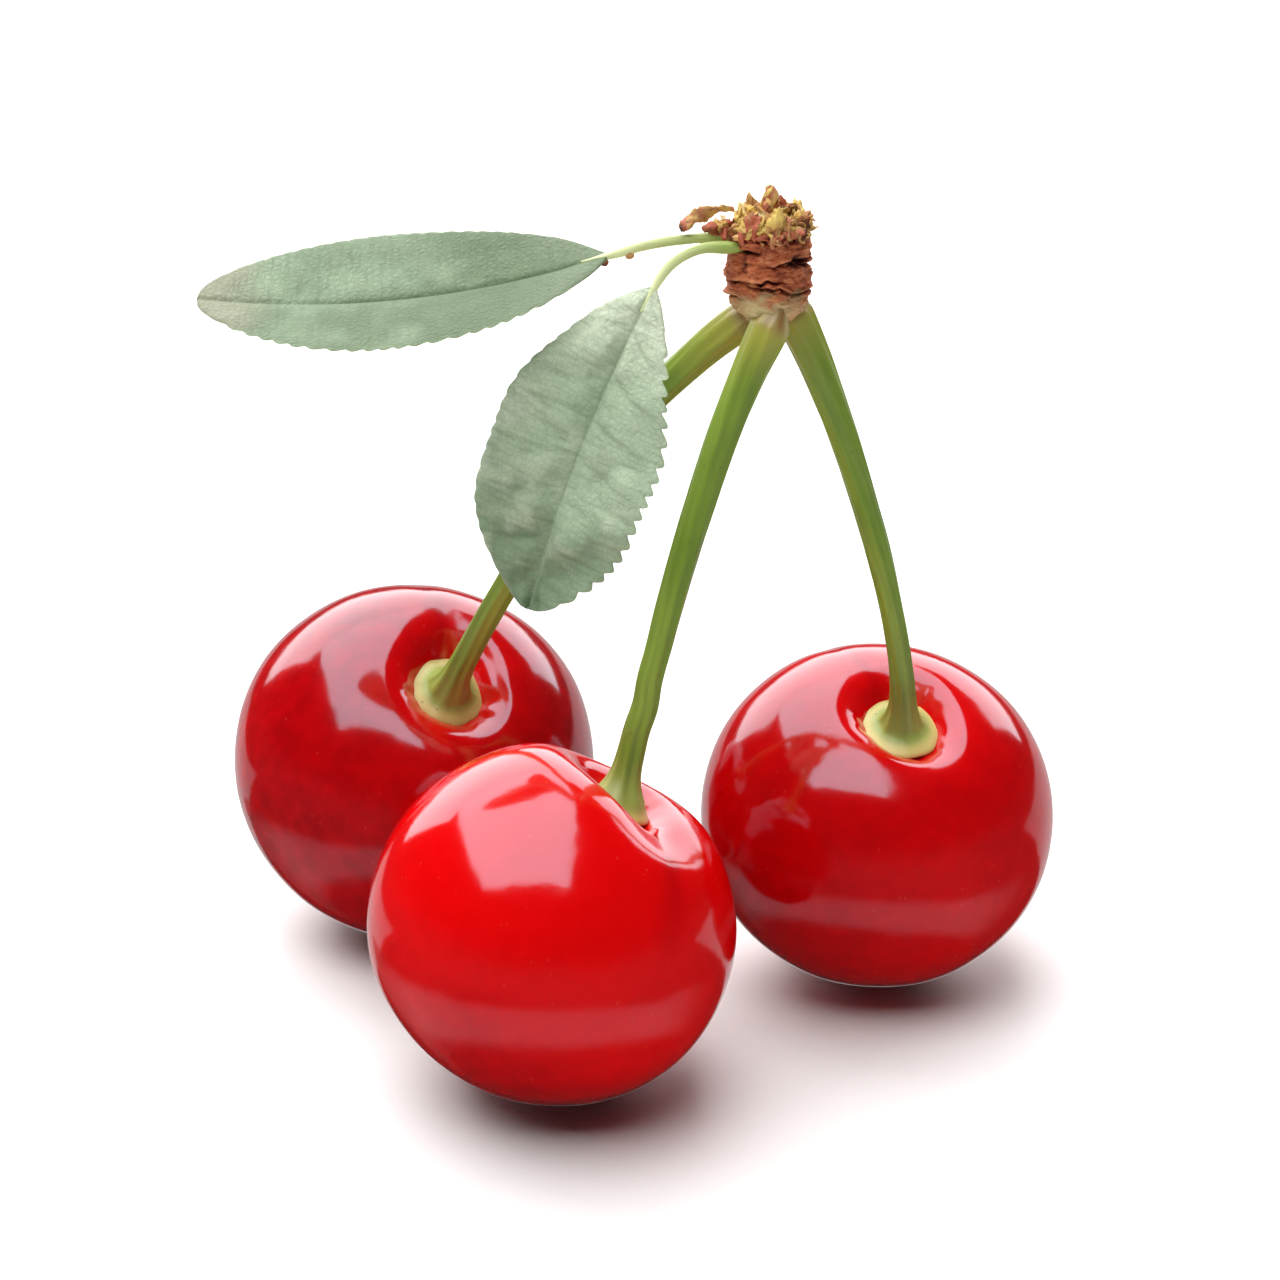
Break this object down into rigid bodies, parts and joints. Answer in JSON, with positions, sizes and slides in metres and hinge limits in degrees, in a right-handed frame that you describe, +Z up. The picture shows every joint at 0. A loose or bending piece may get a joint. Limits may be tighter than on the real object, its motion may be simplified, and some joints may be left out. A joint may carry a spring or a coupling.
{
  "type": "sprig of sour cherries",
  "caption": "Round glossy sour cherries on long green stalks that meet under one short woody spur, with two small serrated leaves; it stands on its fruits.",
  "frame": {"origin": "on the ground, under the middle of the sprig's bounding box", "axes": "+Z up from the fruits to the spur, +X to the right seen from the front, +Y away from the front"},
  "size_m": [0.0482, 0.0416, 0.0492],
  "materials": {
    "cherry_skin": "glossy wet-looking red skin",
    "stalk_green": "satin, finely streaked green stalk",
    "spur_bark": "rough ringed reddish-brown bark",
    "bud_brown": "dry crumbling scales, yellow to brown",
    "leaf_green": "matt grey-green leaf with fine veins"
  },
  "bodies": {
    "root": {"cherry_left": "cherry_skin", "cherry_front": "cherry_skin", "cherry_right": "cherry_skin", "stem_left": "stalk_green", "stem_front": "stalk_green", "stem_right": "stalk_green", "spur": "spur_bark", "terminal_bud": "bud_brown", "bud_scale_1": "bud_brown", "bud_scale_2": "bud_brown", "bud_scale_3": "bud_brown", "bud_scale_4": "bud_brown", "bud_scale_5": "bud_brown", "bud_scale_6": "bud_brown", "bud_scale_7": "bud_brown", "dry_bract": "bud_brown", "leaf_left": "leaf_green", "leaf_front": "leaf_green"}
  },
  "joints": []
}
